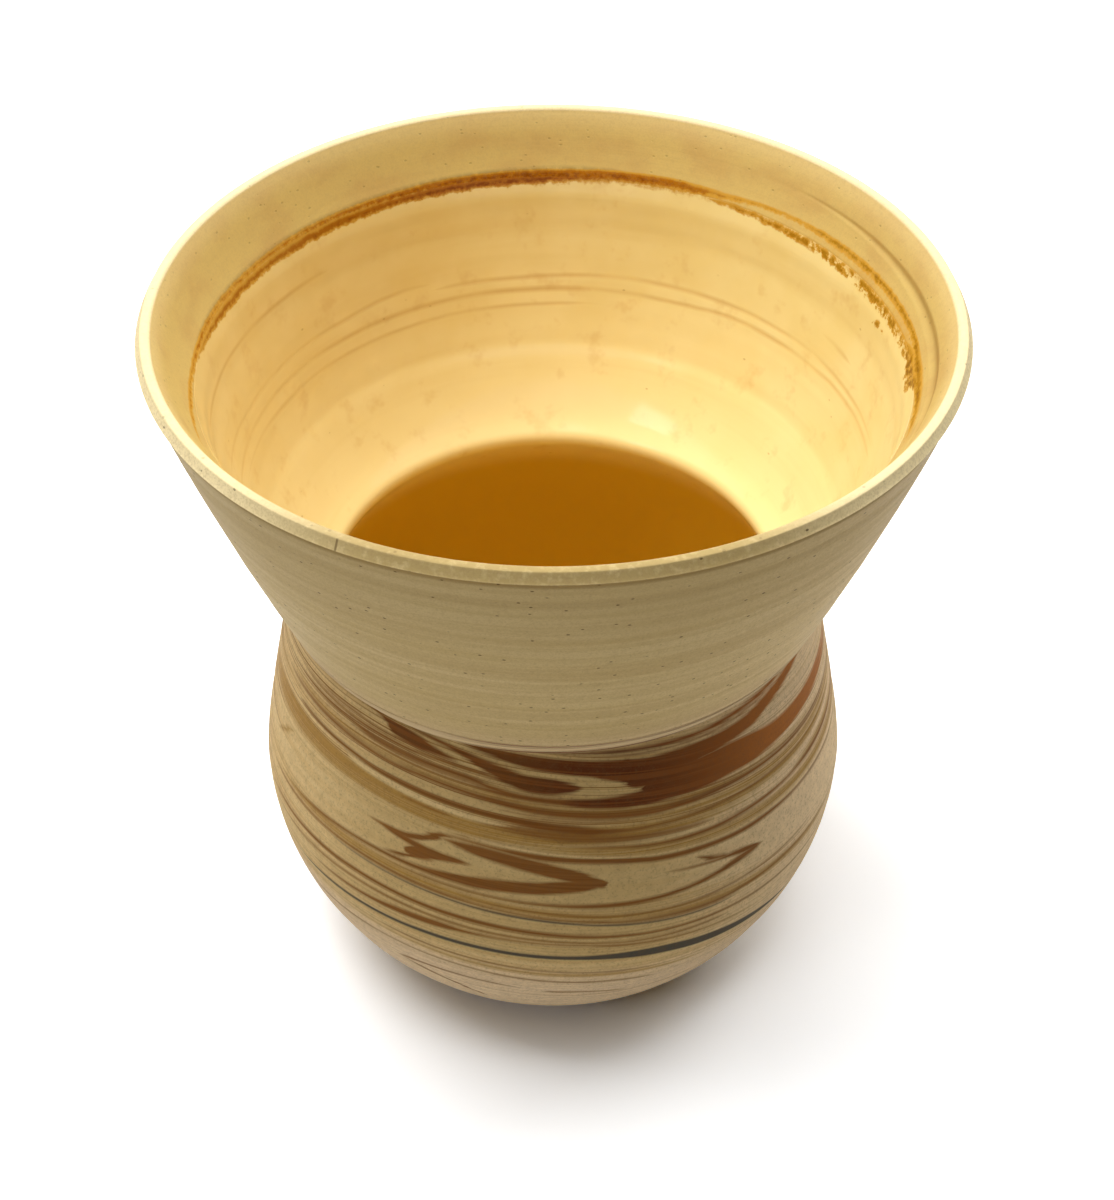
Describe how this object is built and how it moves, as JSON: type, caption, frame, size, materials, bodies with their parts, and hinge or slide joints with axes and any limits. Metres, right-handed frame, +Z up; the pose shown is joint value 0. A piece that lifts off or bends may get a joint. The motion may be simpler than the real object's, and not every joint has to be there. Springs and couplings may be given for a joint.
{
  "type": "ceramic mate cup",
  "caption": "Small wheel-thrown ceramic cup for drinking mate: a marbled round bulb under a flared plain collar, glazed inside up to a line below the lip, on a low foot ring.",
  "frame": {"origin": "centre of the foot ring's underside, on the cup's axis", "axes": "+Z up along the cup's axis; the picture looks along +Y from above, so -Y faces the viewer and +X is to the right"},
  "size_m": [0.09, 0.09, 0.092],
  "materials": {
    "marbled_clay": "unglazed agateware: cream, tan, brown and grey clays in ringed veins, smooth and matt",
    "slip": "dried and fired cream slip, matt",
    "plain_clay": "unglazed cream clay with fine turning lines and small dark specks, matt",
    "glaze": "glossy honey-cream glaze, brown where it ends at the line"
  },
  "bodies": {
    "root": {"marbled_bulb": "marbled_clay", "neck_slip": "slip", "flared_collar": "plain_clay", "glaze_lining": "glaze"}
  },
  "joints": []
}
